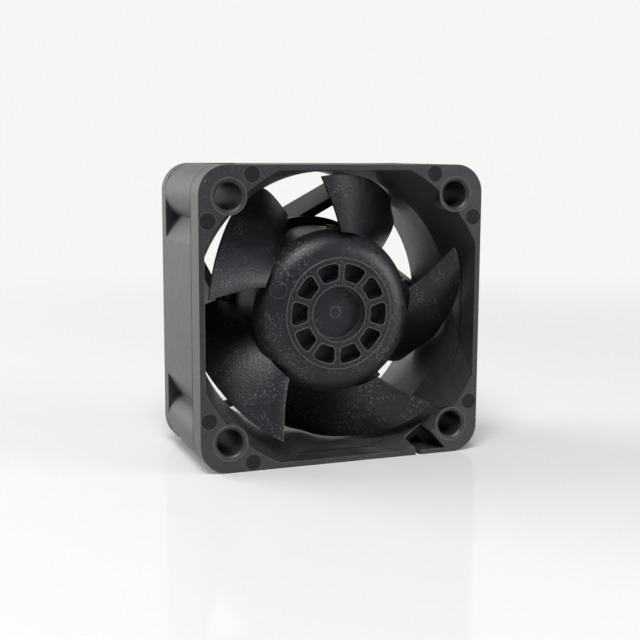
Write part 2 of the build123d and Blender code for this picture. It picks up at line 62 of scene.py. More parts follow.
MM = 0.001
HALF_WIDTH = 20 * MM
FRONT = -10 * MM  # the intake face
HOLE_OFFSET = 16 * MM
EDGE_ROUNDING = 0.06 * MM  # a cut this far below the hub's face misses its rounded edges
# the parting line is drawn as a thin near-black strip of painted shadow
LINE_THICKNESS = 0.03 * MM  # of the thin strip that is the parting line
POST_INSET = 1.8 * MM  # the frame's outer walls lie within this of its sides
DISC_SHARE = 0.3  # height of an ejector mark's disc, as a share of its lip's
FACE_MARGIN = 0.1 * MM  # outlines up to this far outside the hub's flat face still get their lip
MARK_STEPS = 40  # sides of an ejector mark's ring
GATE_STEPS = 32  # sides of the gate mark's ring
RIM_STEPS = 48  # sides of a worn ring at a screw hole

# points no further apart than this are one: in a turned ring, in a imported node, in an outline
TWIN_RING = 0.001 * MM
TWIN_NODE = 0.002 * MM
TWIN_OUTLINE = 0.005 * MM

# each lamp's name, place in metres, side of its square in metres, and power in watts
LAMPS = (
    ("window_left", (-0.46, 0.34, 0.20), 0.45, 3.2),
    ("key_above", (-0.16, -0.32, 0.58), 0.30, 3.7),
    ("wall_right", (0.56, -0.42, 0.14), 0.40, 3.0),
)

FLOOR_HALF = 3.0  # metres from the fan to the floor's edge
FLOOR_GLOSS = 0.08  # share of the floor's faint mirror image
FLOOR_FADE = (0.05, 0.26)  # metres from the fan: there the floor starts to fade, and is all white
ROOM_FADE = (0.03, 0.12)  # metres in front of the fan: there the floor that lights it starts to dim, and is dim
WHITE_SIDE = (-0.45, 0.6, 0.6)  # the way to the white: left, behind and above
WHITE_FADE = (-0.3, 0.55)  # from the dim room to the white, along that way
FILL_LIGHT = 0.4  # strength of the surroundings as a light, where 1 is as they are seen

CAMERA_LENS = 63.398  # millimetres, as is the sensor's width
CAMERA_SENSOR = 36.0
CAMERA_NEAR = 0.01  # metres, as is the place
CAMERA_PLACE = (-0.056060, -0.147503, 0.021521)
CAMERA_TURN = (81.5474, -0.2597, -20.8313)  # degrees


def length(name, description, default):
    return bpy.props.FloatProperty(
        name=name, description=description, default=default, subtype="DISTANCE", unit="LENGTH", precision=6
    )


def colour(name, description, default):
    return bpy.props.FloatVectorProperty(
        name=name, description=description, default=default, subtype="COLOR", size=3, min=0.0, max=1.0
    )


class FanSizes(bpy.types.PropertyGroup):
    """Sizes of the small moulded details"""

    mark_radius: length("Ejector mark radius", "Radius of an ejector pin mark", 1.17 * MM)
    mark_near: length("Ejector mark, near", "Shorter distance of a flange mark from a centre line", 12.9 * MM)
    mark_far: length("Ejector mark, far", "Longer distance of a flange mark from a centre line", 18.8 * MM)
    mark_lip: length("Ejector mark lip", "Width of the raised lip round a mark", 0.09 * MM)
    mark_rise: length("Ejector mark rise", "Height of the raised lip round a mark", 0.025 * MM)
    lip_width: length("Edge lip width", "Thickness of the lips round the hub's pockets", 0.1 * MM)
    lip_rise: length("Edge lip rise", "Height of the lips round the hub's pockets", 0.06 * MM)
    hub_face: length("Hub face depth", "Depth of the hub's flat face below the intake face", 2.2 * MM)
    hub_flat_radius: length("Hub face radius", "Radius of the hub's flat face", 7.6 * MM)
    parting_depth: length("Parting line depth", "Depth of the frame's parting line", 3.9 * MM)
    parting_width: length("Parting line width", "Width of the frame's parting line", 0.2 * MM)
    rim_inner: length("Worn rim, inside", "Inner radius of the worn ring at a screw hole", 2.26 * MM)
    rim_outer: length("Worn rim, outside", "Outer radius of the worn ring at a screw hole", 2.42 * MM)
    rim_rise: length("Worn rim rise", "Height of the worn ring at a screw hole", 0.03 * MM)
    gate_radius: length("Gate mark radius", "Radius of the gate's mark at the hub's centre", 0.8 * MM)
    gate_width: length("Gate mark width", "Width of the ring round the gate mark", 0.12 * MM)
    gate_depth: length("Gate mark depth", "Depth of the hub's centre recess below the intake face", 3.7 * MM)
    dome_mark_x: length("Hub mark, sideways", "Place of the hub's ejector mark", -8.5 * MM)
    dome_mark_z: length("Hub mark, up", "Place of the hub's ejector mark", 3.5 * MM)


class FanColours(bpy.types.PropertyGroup):
    """Base colours of the fan's materials"""

    frame_plastic: colour("Frame plastic", "Charcoal of the frame", (0.019, 0.0188, 0.0195))
    impeller_plastic: colour("Impeller plastic", "Charcoal of the impeller", (0.011, 0.0118, 0.0142))
    # partly wear and partly painted highlight: this pale tone on worn edges, on the hub's pocket lips and on
    # the ejector mark lips stands in for light caught by those edges; round the screw holes it is wear
    worn_plastic: colour("Worn plastic", "Rubbed plastic at edges", (0.095, 0.094, 0.092))
    # painted shadow: near black that stands in for the shade in the fine seam of the parting line
    groove: colour("Groove", "Dark bottom of the parting groove", (0.006, 0.006, 0.007))
    # partly painted glint: pale fibre specks that also stand in for sparkles of light
    fibre_and_glint: colour("Glass fibre", "Fibres that show at the surface", (0.10, 0.10, 0.105))
    dust: colour("Dust", "Fine dust on the fan", (0.42, 0.40, 0.37))
    brass: colour("Brass", "Hub bushing and bearing tube", (0.72, 0.56, 0.28))
    copper: colour("Copper wire", "Enamelled winding wire", (0.62, 0.25, 0.09))
    nylon: colour("Nylon", "Winding insulators", (0.80, 0.79, 0.74))
    board: colour("Board", "Solder mask on the circuit board", (0.03, 0.20, 0.09))
    floor: colour("Floor", "Pale studio floor", (0.74, 0.74, 0.73))
    backdrop: colour("Backdrop", "White surroundings", (0.92, 0.92, 0.905))
    room: colour("Room", "Dim room in front of the fan", (0.10, 0.14, 0.20))


# Mesh helpers

def finish_piece(name, mesh, body, material):
    """the bmesh as a named piece that rides on a body"""
    bmesh.ops.recalc_face_normals(mesh, faces=mesh.faces[:])
    data = bpy.data.meshes.new(name)
    mesh.to_mesh(data)
    mesh.free()
    piece = bpy.data.objects.new(name, data)
    bpy.context.scene.collection.objects.link(piece)
    data.materials.append(material)
    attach(piece, body)
    return piece


def ridge(start, end, rise):
    """profile of a low ring with a crest halfway between two radii, set as deep as it stands proud"""
    return [(start, -rise), (start, 0.0), ((start + end) / 2, rise), (end, 0.0), (end, -rise)]


def ring_piece(profile, places, steps):
    """one bmesh with a turned ring at each place, a matrix that carries +Z to the outside"""
    whole = bmesh.new()
    for place in places:
        part = bmesh.new()
        verts = [part.verts.new((radius, 0.0, height)) for radius, height in profile]
        edges = [part.edges.new(pair) for pair in zip(verts, verts[1:] + verts[:1])]
        bmesh.ops.spin(
            part,
            geom=verts + edges,
            cent=(0, 0, 0),
            axis=(0, 0, 1),
            angle=2 * pi,
            steps=steps,
            use_merge=True,
        )
        bmesh.ops.remove_doubles(part, verts=part.verts[:], dist=TWIN_RING)
        bmesh.ops.recalc_face_normals(part, faces=part.faces[:])
        bmesh.ops.transform(part, matrix=place, verts=part.verts[:])
        carrier = bpy.data.meshes.new("ring")
        part.to_mesh(carrier)
        part.free()
        whole.from_mesh(carrier)
        bpy.data.meshes.remove(carrier)
    return whole


def merged_copy(node):
    """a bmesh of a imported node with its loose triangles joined"""
    mesh = bmesh.new()
    mesh.from_mesh(frame["nodes"][node].data)
    bmesh.ops.remove_doubles(mesh, verts=mesh.verts[:], dist=TWIN_NODE)
    return mesh


def outlines_at(node, height, keep):
    """the edges that a plane square to the fan's axis cuts from a node, where keep(point) holds"""
    mesh = merged_copy(node)
    bmesh.ops.bisect_plane(
        mesh,
        geom=mesh.verts[:] + mesh.edges[:] + mesh.faces[:],
        dist=0.0000001,
        plane_co=(0, height, 0),
        plane_no=(0, 1, 0),
        clear_inner=True,
        clear_outer=True,
    )
    bmesh.ops.delete(mesh, geom=mesh.faces[:], context="FACES_ONLY")
    stray = [v for v in mesh.verts if abs(v.co.y - height) > TWIN_NODE or not keep(v.co)]
    bmesh.ops.delete(mesh, geom=stray, context="VERTS")
    bmesh.ops.remove_doubles(mesh, verts=mesh.verts[:], dist=TWIN_OUTLINE)
    return mesh


def raised_line(mesh, rise, thickness):
    """outline edges drawn up towards the intake and thickened to a narrow lip"""
    drawn = bmesh.ops.extrude_edge_only(mesh, edges=mesh.edges[:])
    tops = [part for part in drawn["geom"] if isinstance(part, bmesh.types.BMVert)]
    bmesh.ops.translate(mesh, vec=(0, rise, 0), verts=tops)
    bmesh.ops.recalc_face_normals(mesh, faces=mesh.faces[:])
    bmesh.ops.solidify(mesh, geom=mesh.faces[:], thickness=thickness)
    return mesh


def facing(point, normal):
    """matrix that sets +Z of a small part along a surface's outward normal at a point"""
    return Matrix.Translation(point) @ normal.to_track_quat("Z", "Y").to_matrix().to_4x4()


def surface_below(node, x, z):
    """where a ray from the intake side first meets a node, and the outward normal there"""
    tree = BVHTree.FromObject(frame["nodes"][node], bpy.context.evaluated_depsgraph_get())
    point, normal, _, _ = tree.ray_cast(Vector((x, 2 * FRONT, z)), Vector((0, 1, 0)))
    if point is None:
        raise RuntimeError(f"nothing of {node} lies under the mark")
    return point, normal if normal.y < 0 else -normal


# Shader groups

def new_group(name, inputs, outputs):
    group = bpy.data.node_groups.new(name, "ShaderNodeTree")
    for label, kind, value in inputs:
        group.interface.new_socket(name=label, in_out="INPUT", socket_type=kind).default_value = value
    for label, kind in outputs:
        group.interface.new_socket(name=label, in_out="OUTPUT", socket_type=kind)
    return group, group.nodes.new("NodeGroupInput"), group.nodes.new("NodeGroupOutput")


def math_node(tree, operation, first, second=None, clamp=False):
    node = tree.nodes.new("ShaderNodeMath")
    node.operation = operation
    node.use_clamp = clamp
    for socket, value in zip(node.inputs, (first, second)):
        if hasattr(value, "is_output"):
            tree.links.new(value, socket)
        elif value is not None:
            socket.default_value = value
    return node.outputs[0]


def noise(tree, vector, scale, detail=2.0, roughness=0.5):
    node = tree.nodes.new("ShaderNodeTexNoise")
    node.inputs["Detail"].default_value = detail
    node.inputs["Roughness"].default_value = roughness
    tree.links.new(vector, node.inputs["Vector"])
    if hasattr(scale, "is_output"):
        tree.links.new(scale, node.inputs["Scale"])
    else:
        node.inputs["Scale"].default_value = scale
    return node.outputs["Fac"]


def ramp(tree, value, low, high):
    """0 below low, 1 above high, smooth between"""
    node = tree.nodes.new("ShaderNodeMapRange")
    node.interpolation_type = "SMOOTHSTEP"
    tree.links.new(value, node.inputs["Value"])
    for socket, limit in (("From Min", low), ("From Max", high)):
        if hasattr(limit, "is_output"):
            tree.links.new(limit, node.inputs[socket])
        else:
            node.inputs[socket].default_value = limit
    return node.outputs["Result"]


def grain_group():
    """moulded surface: a fine spark-eroded grain and a slow mottle"""
    group, given, out = new_group(
        "Mould Grain",
        [("Grain Scale", "NodeSocketFloat", 9000.0), ("Mottle Scale", "NodeSocketFloat", 900.0)],
        [("Height", "NodeSocketFloat"), ("Mottle", "NodeSocketFloat")],
    )
    place = group.nodes.new("ShaderNodeTexCoord").outputs["Object"]
    fine = noise(group, place, given.outputs["Grain Scale"], 3.0, 0.6)
    slow = noise(group, place, given.outputs["Mottle Scale"], 3.0, 0.55)
    group.links.new(fine, out.inputs["Height"])
    group.links.new(slow, out.inputs["Mottle"])
    return group


def fibre_and_glint_group():
    """glass fibre that shows as tiny pale specks in patches; the pale specks also stand in for sparkles of
    light on the fibre, as painted glint
    """
    group, given, out = new_group(
        "Fibre And Glint Speckle",
        [("Scale", "NodeSocketFloat", 3600.0), ("Amount", "NodeSocketFloat", 0.5)],
        [("Mask", "NodeSocketFloat")],
    )
    place = group.nodes.new("ShaderNodeTexCoord").outputs["Object"]
    specks = noise(group, place, given.outputs["Scale"], 1.0, 0.5)
    patches = noise(group, place, 260.0, 2.0, 0.5)
    sharp = ramp(group, specks, 0.56, 0.68)
    share = math_node(group, "MULTIPLY", ramp(group, patches, 0.38, 0.62), given.outputs["Amount"])
    group.links.new(math_node(group, "MULTIPLY", sharp, share, True), out.inputs["Mask"])
    return group


def wear_and_highlight_group():
    """edges: how far a rounded normal departs from the face's own, broken up by noise; the mask paints edges
    pale, partly as wear and partly as painted highlight
    """
    group, given, out = new_group(
        "Edge Wear And Highlight",
        [("Radius", "NodeSocketFloat", 0.00018), ("Break Up", "NodeSocketFloat", 1500.0)],
        [("Mask", "NodeSocketFloat"), ("Normal", "NodeSocketVector")],
    )
    soft = group.nodes.new("ShaderNodeBevel")
    soft.samples = 6
    group.links.new(given.outputs["Radius"], soft.inputs["Radius"])
    plain = group.nodes.new("ShaderNodeNewGeometry").outputs["Normal"]
    dot = group.nodes.new("ShaderNodeVectorMath")
    dot.operation = "DOT_PRODUCT"
    group.links.new(soft.outputs["Normal"], dot.inputs[0])
    group.links.new(plain, dot.inputs[1])
    edge = ramp(group, math_node(group, "SUBTRACT", 1.0, dot.outputs["Value"]), 0.02, 0.22)
    place = group.nodes.new("ShaderNodeTexCoord").outputs["Object"]
    broken = ramp(group, noise(group, place, given.outputs["Break Up"], 3.0, 0.6), 0.30, 0.62)
    group.links.new(math_node(group, "MULTIPLY", edge, broken, True), out.inputs["Mask"])
    group.links.new(soft.outputs["Normal"], out.inputs["Normal"])
    return group


def dust_group():
    """sparse dust specks, and a thin film that gathers in patches"""
    group, given, out = new_group(
        "Dust",
        [("Specks", "NodeSocketFloat", 0.5), ("Film", "NodeSocketFloat", 0.1)],
        [("Mask", "NodeSocketFloat")],
    )
    place = group.nodes.new("ShaderNodeTexCoord").outputs["Object"]
    cells = group.nodes.new("ShaderNodeTexVoronoi")
    cells.inputs["Scale"].default_value = 1100.0
    group.links.new(place, cells.inputs["Vector"])
    near = math_node(group, "SUBTRACT", 1.0, ramp(group, cells.outputs["Distance"], 0.05, 0.16))
    chosen = group.nodes.new("ShaderNodeSeparateColor")
    group.links.new(cells.outputs["Color"], chosen.inputs["Color"])
    rare = ramp(group, chosen.outputs[0], 0.972, 0.98)
    specks = math_node(group, "MULTIPLY", math_node(group, "MULTIPLY", near, rare), given.outputs["Specks"])
    patches = ramp(group, noise(group, place, 420.0, 4.0, 0.65), 0.45, 0.8)
    film = math_node(group, "MULTIPLY", patches, given.outputs["Film"])
    group.links.new(math_node(group, "ADD", specks, film, True), out.inputs["Mask"])
    return group


GROUPS = {}


def place_group(tree, name, **values):
    if name not in GROUPS:
        makers = {
            "Mould Grain": grain_group,
            "Fibre And Glint Speckle": fibre_and_glint_group,
            "Edge Wear And Highlight": wear_and_highlight_group,
            "Dust": dust_group,
        }
        GROUPS[name] = makers[name]()
    node = tree.nodes.new("ShaderNodeGroup")
    node.node_tree = GROUPS[name]
    for label, value in values.items():
        node.inputs[label.replace("_", " ")].default_value = value
    return node


def blend_colour(tree, mask, below, above):
    node = tree.nodes.new("ShaderNodeMix")
    node.data_type = "RGBA"
    tree.links.new(mask, node.inputs["Factor"])
    for socket, value in ((node.inputs[6], below), (node.inputs[7], above)):
        if hasattr(value, "is_output"):
            tree.links.new(value, socket)
        else:
            socket.default_value = (*value, 1.0)
    return node.outputs[2]


def blend_value(tree, mask, below, above):
    node = tree.nodes.new("ShaderNodeMapRange")
    tree.links.new(mask, node.inputs["Value"])
    node.inputs["To Min"].default_value = below
    node.inputs["To Max"].default_value = above
    return node.outputs["Result"]


def new_material(name):
    material = bpy.data.materials.new(name)
    material.use_nodes = True
    return material, material.node_tree, material.node_tree.nodes["Principled BSDF"]


def raise_height(tree, shader, height, strength, distance, normal=None):
    bump = tree.nodes.new("ShaderNodeBump")
    bump.inputs["Strength"].default_value = strength
    bump.inputs["Distance"].default_value = distance
    tree.links.new(height, bump.inputs["Height"])
    if normal is not None:
        tree.links.new(normal, bump.inputs["Normal"])
    tree.links.new(bump.outputs["Normal"], shader.inputs["Normal"])


def moulded_plastic(name, base, colours, speckle, dust, grain, roughness, gloss=0.55):
    """glass-filled plastic: grain, fibre speckle that is partly painted glint, worn edges that are partly
    painted highlight, and dust
    """
    material, tree, shader = new_material(name)
    shader.inputs["Specular IOR Level"].default_value = gloss
    surface = place_group(tree, "Mould Grain", Grain_Scale=grain, Mottle_Scale=700.0)
    fibres_and_glints = place_group(tree, "Fibre And Glint Speckle", Amount=speckle)
    edges = place_group(tree, "Edge Wear And Highlight")
    film = place_group(tree, "Dust", Specks=dust, Film=dust * 0.03)
    dark = tuple(0.75 * part for part in base)
    light = tuple(1.3 * part for part in base)
    tone = blend_colour(tree, surface.outputs["Mottle"], dark, light)
    # partly painted glint: pale fibre specks in the base colour, which also stand in for sparkles of light
    tone = blend_colour(tree, fibres_and_glints.outputs["Mask"], tone, tuple(colours.fibre_and_glint))
    # partly painted highlight: the edges are painted pale, partly as wear
    tone = blend_colour(tree, edges.outputs["Mask"], tone, tuple(colours.worn_plastic))
    tone = blend_colour(tree, film.outputs["Mask"], tone, tuple(colours.dust))
    tree.links.new(tone, shader.inputs["Base Color"])
    rough = blend_value(tree, surface.outputs["Mottle"], roughness - 0.06, roughness + 0.08)
    tree.links.new(rough, shader.inputs["Roughness"])
    raise_height(tree, shader, surface.outputs["Height"], 0.5, 0.00009, edges.outputs["Normal"])
    return material


def turned_metal(name, base, roughness, lines=0.5):
    """machined metal: fine turning lines across the axis, slightly uneven in colour"""
    material, tree, shader = new_material(name)
    shader.inputs["Metallic"].default_value = 1.0
    place = tree.nodes.new("ShaderNodeTexCoord").outputs["Object"]
    stretch = tree.nodes.new("ShaderNodeMapping")
    stretch.inputs["Scale"].default_value = (900.0, 14000.0, 900.0)
    tree.links.new(place, stretch.inputs["Vector"])
    turning = noise(tree, stretch.outputs["Vector"], 1.0, 2.0, 0.6)
    surface = place_group(tree, "Mould Grain", Grain_Scale=6000.0, Mottle_Scale=500.0)
    tone = blend_colour(tree, surface.outputs["Mottle"], tuple(0.8 * part for part in base), base)
    tree.links.new(tone, shader.inputs["Base Color"])
    tree.links.new(blend_value(tree, turning, roughness - 0.08, roughness + 0.12), shader.inputs["Roughness"])
    raise_height(tree, shader, turning, lines, 0.000004)
    return material


def stacked_steel(name):
    """electrical steel sheets: cut edges that show as lines along the stack"""
    material, tree, shader = new_material(name)
    shader.inputs["Metallic"].default_value = 1.0
    place = tree.nodes.new("ShaderNodeTexCoord").outputs["Object"]
    waves = tree.nodes.new("ShaderNodeTexWave")
    waves.bands_direction = "Y"
    waves.inputs["Scale"].default_value = 314.0
    waves.inputs["Distortion"].default_value = 0.4
    tree.links.new(place, waves.inputs["Vector"])
    surface = place_group(tree, "Mould Grain", Grain_Scale=5000.0, Mottle_Scale=600.0)
    tone = blend_colour(tree, surface.outputs["Mottle"], (0.30, 0.30, 0.31), (0.46, 0.46, 0.48))
    tree.links.new(tone, shader.inputs["Base Color"])
    tree.links.new(blend_value(tree, surface.outputs["Height"], 0.34, 0.56), shader.inputs["Roughness"])
    raise_height(tree, shader, waves.outputs["Fac"], 0.5, 0.00004)
    return material


def wound_copper(name, base):
    """enamelled wire laid turn beside turn"""
    material, tree, shader = new_material(name)
    shader.inputs["Metallic"].default_value = 0.9
    shader.inputs["Coat Weight"].default_value = 0.4
    place = tree.nodes.new("ShaderNodeTexCoord").outputs["Object"]
    turns = tree.nodes.new("ShaderNodeTexWave")
    turns.wave_type = "RINGS"
    turns.rings_direction = "Y"
    turns.inputs["Scale"].default_value = 1500.0
    turns.inputs["Distortion"].default_value = 1.2
    turns.inputs["Detail"].default_value = 1.0
    tree.links.new(place, turns.inputs["Vector"])
    # painted shade: the tone drops to 0.45 of the base in the low valleys between the turns
    tone = blend_colour(tree, turns.outputs["Fac"], tuple(0.45 * part for part in base), base)
    tree.links.new(tone, shader.inputs["Base Color"])
    tree.links.new(blend_value(tree, turns.outputs["Fac"], 0.42, 0.24), shader.inputs["Roughness"])
    raise_height(tree, shader, turns.outputs["Fac"], 0.8, 0.00006)
    return material


def plain_moulding(name, base, roughness, grain):
    """small moulded or coated parts: soft mottle, a fine grain and pale edges that are partly wear and partly
    painted highlight
    """
    material, tree, shader = new_material(name)
    surface = place_group(tree, "Mould Grain", Grain_Scale=grain, Mottle_Scale=1200.0)
    edges = place_group(tree, "Edge Wear And Highlight", Radius=0.00006)
    tone = blend_colour(tree, surface.outputs["Mottle"], tuple(0.8 * part for part in base), base)
    # partly painted highlight: the edges are painted pale, partly as wear
    rubbed_and_highlit = tuple(min(1.0, 1.5 * part + 0.02) for part in base)
    tone = blend_colour(tree, edges.outputs["Mask"], tone, rubbed_and_highlit)
    tree.links.new(tone, shader.inputs["Base Color"])
    rough = blend_value(tree, surface.outputs["Height"], roughness - 0.06, roughness + 0.08)
    tree.links.new(rough, shader.inputs["Roughness"])
    raise_height(tree, shader, surface.outputs["Height"], 0.3, 0.00002, edges.outputs["Normal"])
    return material


MATERIALS = {}


def finishes(colours):
    """every material by the name of its finish, built once"""
    if MATERIALS:
        return MATERIALS
    frame_tone, worn_and_highlight_tone = tuple(colours.frame_plastic), tuple(colours.worn_plastic)
    MATERIALS["frame_plastic"] = moulded_plastic(
        "frame plastic", frame_tone, colours, speckle=0.35, dust=0.4, grain=3800.0, roughness=0.43
    )
    MATERIALS["impeller_plastic"] = moulded_plastic(
        "impeller plastic",
        tuple(colours.impeller_plastic),
        colours,
        speckle=0.75,
        dust=0.5,
        grain=3400.0,
        roughness=0.36,
        gloss=0.36,
    )
    # partly painted highlight: pale plastic for worn edges, for the lips of the hub's pockets and of the
    # ejector marks, and wear round the screw holes
    rubbed_and_highlit = tuple(0.85 * part for part in worn_and_highlight_tone)
    MATERIALS["worn_plastic"] = moulded_plastic(
        "worn and highlight plastic", rubbed_and_highlit, colours, speckle=0.3, dust=0.2, grain=6000.0, roughness=0.34
    )
    pressed = tuple(0.55 * part for part in frame_tone)
    MATERIALS["pressed_plastic"] = moulded_plastic(
        "pressed plastic", pressed, colours, speckle=0.1, dust=0.1, grain=3800.0, roughness=0.6, gloss=0.2
    )
    # painted shadow: a near-black strip without specular, standing in for the shade in the parting line's seam
    MATERIALS["groove"] = plain_moulding("parting groove", tuple(colours.groove), 0.7, 6000.0)
    MATERIALS["groove"].node_tree.nodes["Principled BSDF"].inputs["Specular IOR Level"].default_value = 0.0
    MATERIALS["brass"] = turned_metal("turned brass", tuple(colours.brass), 0.3)
    MATERIALS["lamination_steel"] = stacked_steel("stacked steel")
    MATERIALS["insulator_plastic"] = plain_moulding("natural nylon", tuple(colours.nylon), 0.45, 5000.0)
    MATERIALS["copper_wire"] = wound_copper("wound copper", tuple(colours.copper))
    MATERIALS["pin_steel"] = turned_metal("tinned pins", (0.75, 0.75, 0.74), 0.3, 0.2)
    MATERIALS["board_green"] = plain_moulding("solder mask", tuple(colours.board), 0.28, 3000.0)
    MATERIALS["chip_black"] = plain_moulding("chip package", (0.03, 0.03, 0.03), 0.5, 9000.0)
    MATERIALS["capacitor_tan"] = plain_moulding("ceramic", (0.55, 0.42, 0.28), 0.4, 7000.0)
    MATERIALS["bearing_steel"] = turned_metal("ground bearing steel", (0.70, 0.71, 0.72), 0.22, 0.3)
    MATERIALS["ball_steel"] = turned_metal("polished balls", (0.80, 0.81, 0.82), 0.14, 0.05)
    MATERIALS["cage_steel"] = turned_metal("stamped cage steel", (0.55, 0.55, 0.55), 0.36, 0.2)
    MATERIALS["yoke_steel"] = turned_metal("drawn yoke steel", (0.50, 0.51, 0.52), 0.4, 0.4)
    MATERIALS["magnet"] = plain_moulding("bonded ferrite", (0.12, 0.11, 0.11), 0.6, 4000.0)
    MATERIALS["shaft_steel"] = turned_metal("ground shaft steel", (0.72, 0.72, 0.73), 0.2, 0.3)
    MATERIALS["clip_steel"] = turned_metal("spring steel", (0.45, 0.45, 0.47), 0.38, 0.2)
    return MATERIALS


class FAN_OT_finishes(bpy.types.Operator):
    """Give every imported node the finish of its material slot"""

    bl_idname = "fan.finishes"
    bl_label = "Finish the Packed Parts"

    def execute(self, context):
        made = finishes(context.scene.fan_colours)
        for part in frame["record"]["subparts"]:
            node = frame["nodes"][part["node"]]
            material = made[part["material_slot"]]
            if node.material_slots:
                for slot in node.material_slots:
                    slot.material = material
            else:
                node.data.materials.append(material)
        return {"FINISHED"}


class FAN_OT_moulding_marks(bpy.types.Operator):
    """Set the ejector pin marks on the intake flange and on the hub, with pale lips that are painted highlight
    """

    bl_idname = "fan.moulding_marks"
    bl_label = "Moulding Marks"

    def execute(self, context):
        sizes = context.scene.fan_sizes
        made = finishes(context.scene.fan_colours)
        outer, inner, rise = sizes.mark_radius, sizes.mark_radius - sizes.mark_lip, sizes.mark_rise
        profile = ridge(outer, inner, rise)
        near, far = sizes.mark_near, sizes.mark_far
        spots = [(x * near, z * far) for x in (-1, 1) for z in (-1, 1) if (x, z) != (1, -1)]
        spots += [(x * far, z * near) for x in (-1, 1) for z in (-1, 1)]
        places = [facing(Vector((x, FRONT, z)), Vector((0, -1, 0))) for x, z in spots]
        # painted highlight: the pale lips stand in for light caught by the marks' raised edges
        finish_piece(
            "flange_ejector_marks",
            ring_piece(profile, places, MARK_STEPS),
            "housing",
            made["worn_plastic"],
        )
        top = DISC_SHARE * rise
        disc = [(0.0, -rise), (inner, -rise), (inner, top), (0.0, top)]
        finish_piece(
            "flange_mark_discs",
            ring_piece(disc, places, MARK_STEPS),
            "housing",
            made["pressed_plastic"],
        )
        point, normal = surface_below("impeller", sizes.dome_mark_x, sizes.dome_mark_z)
        # painted highlight: the pale lip of this mark as well
        finish_piece(
            "hub_ejector_mark",
            ring_piece(profile, [facing(point, normal)], MARK_STEPS),
            "rotor",
            made["worn_plastic"],
        )
        profile = ridge(sizes.gate_radius, sizes.gate_radius - sizes.gate_width, rise)
        centre = facing(Vector((0, FRONT + sizes.gate_depth, 0)), Vector((0, -1, 0)))
        finish_piece(
            "hub_gate_mark",
            ring_piece(profile, [centre], GATE_STEPS),
            "rotor",
            made["worn_plastic"],
        )
        return {"FINISHED"}


class FAN_OT_hub_lips(bpy.types.Operator):
    """Raise the fine lips round the hub's pockets and centre recess, in pale plastic that is painted highlight
    """

    bl_idname = "fan.hub_lips"
    bl_label = "Hub Edge Lips"

    def execute(self, context):
        sizes = context.scene.fan_sizes
        made = finishes(context.scene.fan_colours)
        face = FRONT + sizes.hub_face
        reach = sizes.hub_flat_radius + FACE_MARGIN
        outlines = outlines_at("impeller", face + EDGE_ROUNDING, lambda p: Vector((p.x, p.z)).length < reach)
        lips = raised_line(outlines, -EDGE_ROUNDING - sizes.lip_rise, sizes.lip_width)
        # painted highlight: the lips are pale plastic
        finish_piece("hub_pocket_lips", lips, "rotor", made["worn_plastic"])
        return {"FINISHED"}


class FAN_OT_hole_rims(bpy.types.Operator):
    """Rub the plastic bright round the screw holes of the intake flange"""

    bl_idname = "fan.hole_rims"
    bl_label = "Worn Hole Rims"

    def execute(self, context):
        sizes = context.scene.fan_sizes
        made = finishes(context.scene.fan_colours)
        profile = ridge(sizes.rim_inner, sizes.rim_outer, sizes.rim_rise)
        holes = [Vector((x * HOLE_OFFSET, FRONT, z * HOLE_OFFSET)) for x in (-1, 1) for z in (-1, 1)]
        places = [facing(hole, Vector((0, -1, 0))) for hole in holes]
        finish_piece(
            "worn_hole_rims",
            ring_piece(profile, places, RIM_STEPS),
            "housing",
            made["worn_plastic"],
        )
        return {"FINISHED"}


class FAN_OT_parting_line(bpy.types.Operator):
    """Run the mould's parting line round the sides of the frame, as a thin near-black strip of painted shadow
    """

    bl_idname = "fan.parting_line"
    bl_label = "Parting Line"

    def execute(self, context):
        sizes = context.scene.fan_sizes
        made = finishes(context.scene.fan_colours)
        reach = HALF_WIDTH - POST_INSET
        start = FRONT + sizes.parting_depth - sizes.parting_width / 2
        outline = outlines_at("frame", start, lambda p: max(abs(p.x), abs(p.z)) > reach)
        line = raised_line(outline, sizes.parting_width, LINE_THICKNESS)
        # painted shadow: the strip is near black
        finish_piece("parting_line", line, "housing", made["groove"])
        return {"FINISHED"}


